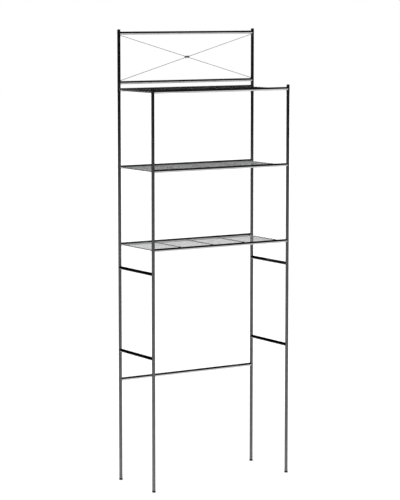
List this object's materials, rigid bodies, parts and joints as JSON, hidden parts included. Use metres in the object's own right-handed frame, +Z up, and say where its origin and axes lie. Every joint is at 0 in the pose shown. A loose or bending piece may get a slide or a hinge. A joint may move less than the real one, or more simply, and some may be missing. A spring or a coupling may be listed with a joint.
{
  "type": "over the toilet storage rack",
  "caption": "Tall chrome tube rack that stands over a toilet: wire shelves between two post frames, a low back stretcher and a braced back panel above the top shelf.",
  "frame": {"origin": "on the floor, at the centre of the rack's footprint", "axes": "+Z up along the posts, front faces -Y, +X to the right of a person who faces the front"},
  "size_m": [0.6202, 0.2568, 1.727],
  "materials": {
    "chrome_tube": "polished dark chrome on steel tube",
    "chrome_wire": "polished chrome on steel wire",
    "screw_steel": "satin plated steel",
    "black_plastic": "fine matt moulded"
  },
  "bodies": {
    "root": {"back_left_foot": "black_plastic", "back_left_joint_pin": "screw_steel", "back_left_leg": "chrome_tube", "back_left_post": "chrome_tube", "back_left_top_cap": "black_plastic", "back_panel_bottom_rail": "chrome_tube", "back_panel_bottom_rail_left_screw": "screw_steel", "back_panel_bottom_rail_right_screw": "screw_steel", "back_panel_top_rail": "chrome_tube", "back_panel_top_rail_left_screw": "screw_steel", "back_panel_top_rail_right_screw": "screw_steel", "back_right_foot": "black_plastic", "back_right_joint_pin": "screw_steel", "back_right_leg": "chrome_tube", "back_right_post": "chrome_tube", "back_right_top_cap": "black_plastic", "back_stretcher": "chrome_tube", "back_stretcher_left_screw": "screw_steel", "back_stretcher_right_screw": "screw_steel", "bottom_shelf_back_rail": "chrome_tube", "bottom_shelf_back_rail_left_screw": "screw_steel", "bottom_shelf_back_rail_right_screw": "screw_steel", "bottom_shelf_front_rail": "chrome_tube", "bottom_shelf_front_rail_left_screw": "screw_steel", "bottom_shelf_front_rail_right_screw": "screw_steel", "bottom_shelf_wire_deck": "chrome_wire", "brace_clip": "chrome_wire", "brace_rod_falling": "chrome_wire", "brace_rod_rising": "chrome_wire", "front_left_foot": "black_plastic", "front_left_joint_pin": "screw_steel", "front_left_leg": "chrome_tube", "front_left_post": "chrome_tube", "front_left_top_cap": "black_plastic", "front_right_foot": "black_plastic", "front_right_joint_pin": "screw_steel", "front_right_leg": "chrome_tube", "front_right_post": "chrome_tube", "front_right_top_cap": "black_plastic", "left_lower_rung": "chrome_tube", "left_upper_rung": "chrome_tube", "middle_shelf_back_rail": "chrome_tube", "middle_shelf_back_rail_left_screw": "screw_steel", "middle_shelf_back_rail_right_screw": "screw_steel", "middle_shelf_front_rail": "chrome_tube", "middle_shelf_front_rail_left_screw": "screw_steel", "middle_shelf_front_rail_right_screw": "screw_steel", "middle_shelf_wire_deck": "chrome_wire", "right_lower_rung": "chrome_tube", "right_upper_rung": "chrome_tube", "top_shelf_back_rail": "chrome_tube", "top_shelf_back_rail_left_screw": "screw_steel", "top_shelf_back_rail_right_screw": "screw_steel", "top_shelf_front_rail": "chrome_tube", "top_shelf_front_rail_left_screw": "screw_steel", "top_shelf_front_rail_right_screw": "screw_steel", "top_shelf_wire_deck": "chrome_wire"}
  },
  "joints": []
}
